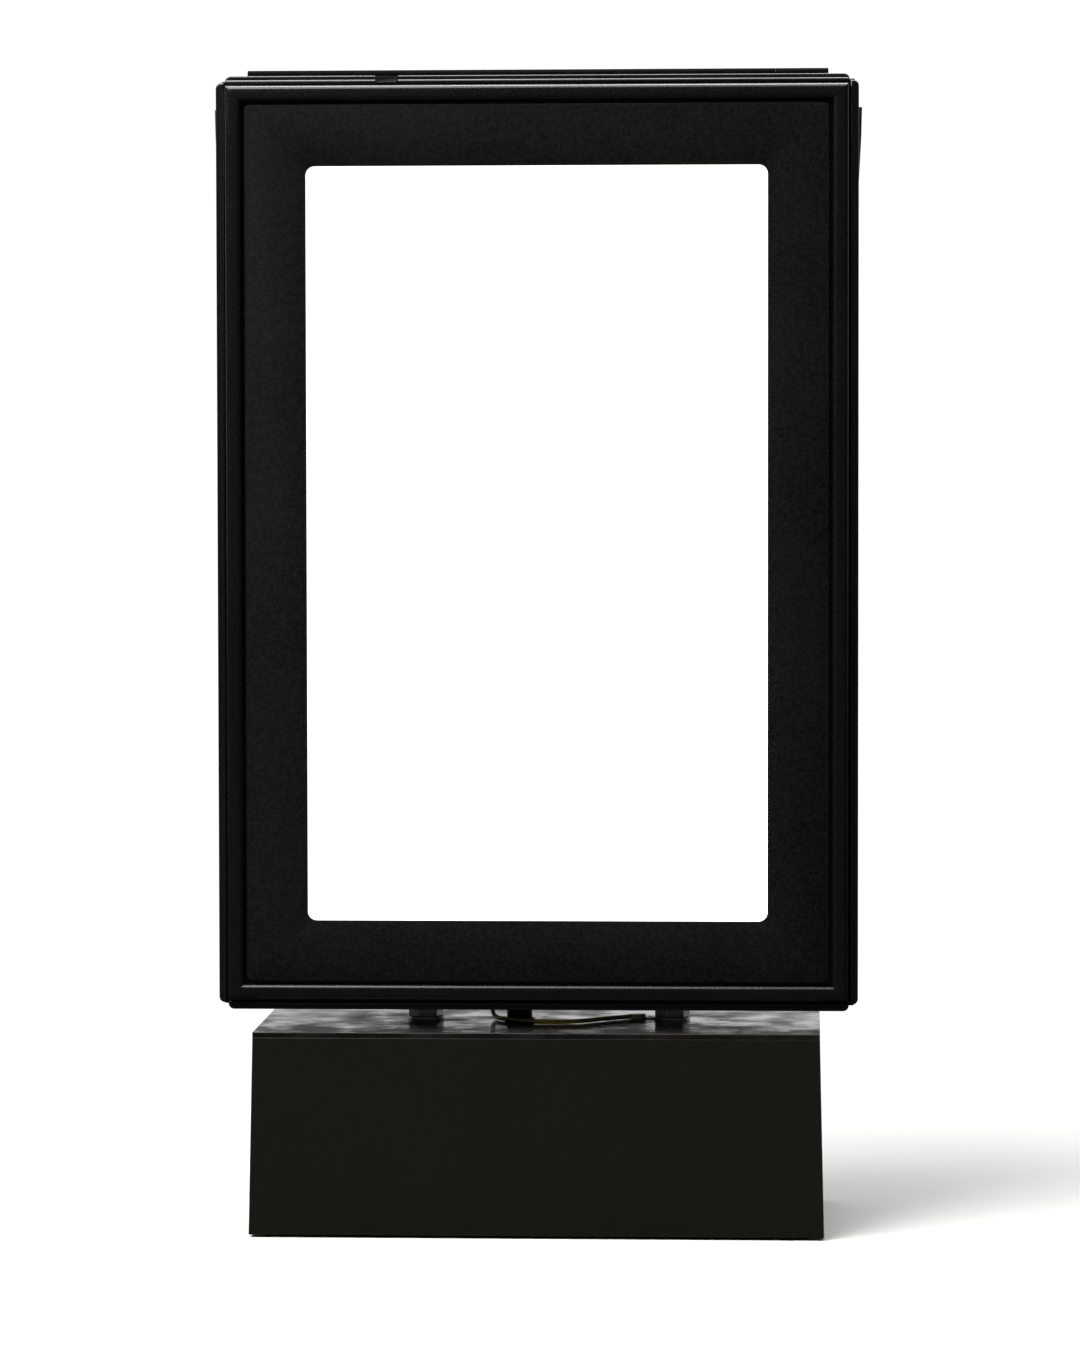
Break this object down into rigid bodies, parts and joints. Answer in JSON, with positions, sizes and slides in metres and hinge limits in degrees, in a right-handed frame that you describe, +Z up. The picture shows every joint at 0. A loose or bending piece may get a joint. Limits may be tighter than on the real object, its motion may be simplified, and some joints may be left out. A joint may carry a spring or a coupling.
{
  "type": "pedestrian traffic light",
  "caption": "Free-standing lit signal box in a black mitred frame, with a top-hung service door, bolted to a weighted plinth that holds its power supply.",
  "frame": {"origin": "middle of the footprint, on the floor", "axes": "+Z up; the lit front faces -Y; +X is to the right of someone facing the front"},
  "size_m": [0.3536, 0.1546, 0.6357],
  "materials": {
    "gloss_black_shell": "gloss black sheet",
    "gloss_black_plate": "gloss black sheet with sawn edges",
    "zinc_sheet": "zinc-plated steel",
    "foot_rubber": "moulded rubber",
    "zinc_screw": "bright zinc",
    "cleat_wood": "sawn beech",
    "ballast_steel": "hot-rolled steel",
    "supply_case": "perforated aluminium case",
    "inlet_plastic": "moulded nylon",
    "rocker_plastic": "moulded nylon",
    "lead_sheath": "PVC sheath",
    "bush_plastic": "moulded nylon",
    "seal_rubber": "EPDM",
    "earth_sheath": "green and yellow PVC",
    "tinned_brass": "tinned",
    "case_paint": "black powder coat",
    "cover_plastic": "fine-textured ABS",
    "black_screw": "black-plated screw",
    "catch_steel": "plated magnet body",
    "hinge_paint": "black-coated steel",
    "hinge_steel": "steel wire",
    "rivet_aluminium": "aluminium rivet",
    "frame_paint": "satin black on aluminium profile",
    "key_aluminium": "cast",
    "trim_gloss": "gloss black trim",
    "plug_rubber": "moulded rubber",
    "mask_grain": "fine leather-grain ABS sheet",
    "opal_sheet": "opal acrylic",
    "clip_steel": "spring steel",
    "reflector_white": "white vacuum-formed sheet",
    "board_white": "white solder mask",
    "lamp_phosphor": "phosphor",
    "driver_case": "moulded driver case",
    "board_green": "green solder mask",
    "terminal_plastic": "polyamide"
  },
  "bodies": {
    "root": {"plinth_shell": "gloss_black_shell", "plinth_top_plate": "gloss_black_plate", "plinth_base_plate": "zinc_sheet", "plinth_feet": "foot_rubber", "foot_screws": "zinc_screw", "cleat_blocks": "cleat_wood", "ballast_block": "ballast_steel", "power_supply": "supply_case", "mains_inlet": "inlet_plastic", "mains_leads": "lead_sheath", "mounting_studs": "zinc_screw", "stud_nuts": "zinc_screw", "stud_washers": "zinc_screw", "plinth_bush": "bush_plastic", "case_grommet": "seal_rubber", "supply_lead": "lead_sheath", "earth_wire": "earth_sheath", "earth_terminal": "tinned_brass", "case_pan": "case_paint", "case_stiffener": "zinc_sheet", "rear_cover": "cover_plastic", "rear_cover_screws": "black_screw", "door_seal_left": "seal_rubber", "door_seal_right": "seal_rubber", "door_seal_bottom": "seal_rubber", "magnet_catches": "catch_steel", "hinge_leaf_case": "hinge_paint", "hinge_pin": "hinge_steel", "hinge_rivets_case": "rivet_aluminium", "reflector_upper": "reflector_white", "led_board_upper": "board_white", "reflector_lower": "reflector_white", "led_board_lower": "board_white", "leds": "lamp_phosphor", "board_screws": "zinc_screw", "gear_plate": "zinc_sheet", "led_drivers": "driver_case", "driver_leads": "lead_sheath", "control_board": "board_green", "terminal_block": "terminal_plastic"},
    "door": {"door_pan": "case_paint", "frame_screws": "zinc_screw", "frame_top": "frame_paint", "frame_bottom": "frame_paint", "frame_left": "frame_paint", "frame_right": "frame_paint", "corner_keys": "key_aluminium", "edge_trim_left": "trim_gloss", "edge_trim_right": "trim_gloss", "edge_trim_top": "trim_gloss", "edge_trim_bottom": "trim_gloss", "top_plug": "plug_rubber", "mask_panel": "mask_grain", "panel_gasket": "seal_rubber", "diffuser": "opal_sheet", "diffuser_clips": "clip_steel", "hinge_leaf_door": "hinge_paint", "hinge_rivets_door": "rivet_aluminium"},
    "rocker": {"power_rocker": "rocker_plastic"}
  },
  "joints": [
    {"name": "door_hinge", "type": "hinge", "parent": "root", "child": "door", "pos_m": [0, -0.03855, 0.6327], "axis": [-1, 0, 0], "range_deg": [0, 100]},
    {"name": "rocker_tilt", "type": "hinge", "parent": "root", "child": "rocker", "pos_m": [0.101, 0.0695, 0.048], "axis": [-1, 0, 0], "range_deg": [0, 12]}
  ]
}
